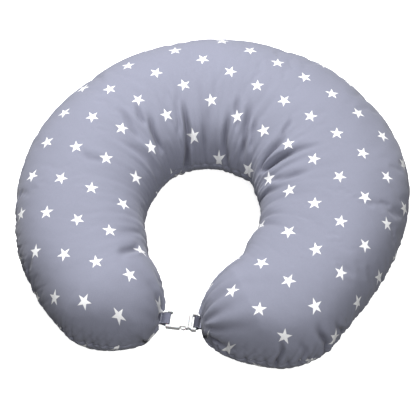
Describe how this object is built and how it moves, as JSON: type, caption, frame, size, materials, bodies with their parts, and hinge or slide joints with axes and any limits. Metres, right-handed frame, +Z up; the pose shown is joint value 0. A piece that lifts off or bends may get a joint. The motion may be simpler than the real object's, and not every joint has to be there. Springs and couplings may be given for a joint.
{
  "type": "nursing pillow",
  "caption": "C-shaped stuffed nursing pillow in a star-print cotton cover, its arms held by a side-release buckle across the mouth.",
  "frame": {"origin": "on the floor, under the middle of the pillow's box", "axes": "+Z up; the mouth and its buckle face -Y, the back is towards +Y, +X runs across the pillow to the plug's side"},
  "size_m": [0.5998, 0.559, 0.158],
  "materials": {
    "printed_cotton": "woven cotton, blue grey with small white stars",
    "casing_cotton": "plain woven, off white",
    "polyester_fibre": "loose hollow fibre, white",
    "strap_cotton": "plain folded cotton tab",
    "white_acetal": "moulded, semi matt",
    "grey_thread": "close stitching",
    "zip_tape": "woven tape",
    "zip_nylon": "nylon coil",
    "zip_metal": "nickel grey, satin",
    "label_satin": "blank satin ribbon"
  },
  "bodies": {
    "left_half": {"cover_top_left": "printed_cotton", "cover_bottom_left": "printed_cotton", "casing_top_left": "casing_cotton", "casing_bottom_left": "casing_cotton", "filling_left": "polyester_fibre", "strap_left": "strap_cotton", "bar_tack_left": "grey_thread", "buckle_socket": "white_acetal", "zip_tape_upper": "zip_tape", "zip_tape_lower": "zip_tape", "zip_teeth_upper": "zip_nylon", "zip_teeth_lower": "zip_nylon", "zip_stop_closed_end": "zip_metal", "zip_stop_open_end": "zip_metal"},
    "right_half": {"cover_top_right": "printed_cotton", "cover_bottom_right": "printed_cotton", "casing_top_right": "casing_cotton", "casing_bottom_right": "casing_cotton", "filling_right": "polyester_fibre", "strap_right": "strap_cotton", "bar_tack_right": "grey_thread", "buckle_plug": "white_acetal", "care_label": "label_satin"},
    "prong_back": {"plug_prong_back": "white_acetal"},
    "prong_front": {"plug_prong_front": "white_acetal"},
    "zip_slider": {"zip_slider": "zip_metal"},
    "zip_pull": {"zip_pull": "zip_metal"}
  },
  "joints": [
    {"name": "arms_spread", "type": "hinge", "parent": "left_half", "child": "right_half", "pos_m": [-0.00577, 0.27953, 0], "axis": [0, 0, 1], "range_deg": [0, 25], "deforming": ["plug_prong_back", "plug_prong_front"]},
    {"name": "prong_back_press", "type": "hinge", "parent": "right_half", "child": "prong_back", "pos_m": [-0.00623, -0.21247, 0.07], "axis": [0, 0, 1], "range_deg": [0, 10], "stiffness_Nm_per_rad": 0.02},
    {"name": "prong_front_press", "type": "hinge", "parent": "right_half", "child": "prong_front", "pos_m": [-0.00623, -0.22847, 0.07], "axis": [0, 0, -1], "range_deg": [0, 10], "stiffness_Nm_per_rad": 0.02},
    {"name": "zip_run", "type": "hinge", "parent": "left_half", "child": "zip_slider", "pos_m": [0.01293, -0.03181, 0.07], "axis": [0, 0, -1], "range_deg": [0, 39]},
    {"name": "pull_flip", "type": "hinge", "parent": "zip_slider", "child": "zip_pull", "pos_m": [-0.28008, 0.10388, 0.07], "axis": [0, 0, 1], "range_deg": [0, 165]}
  ]
}
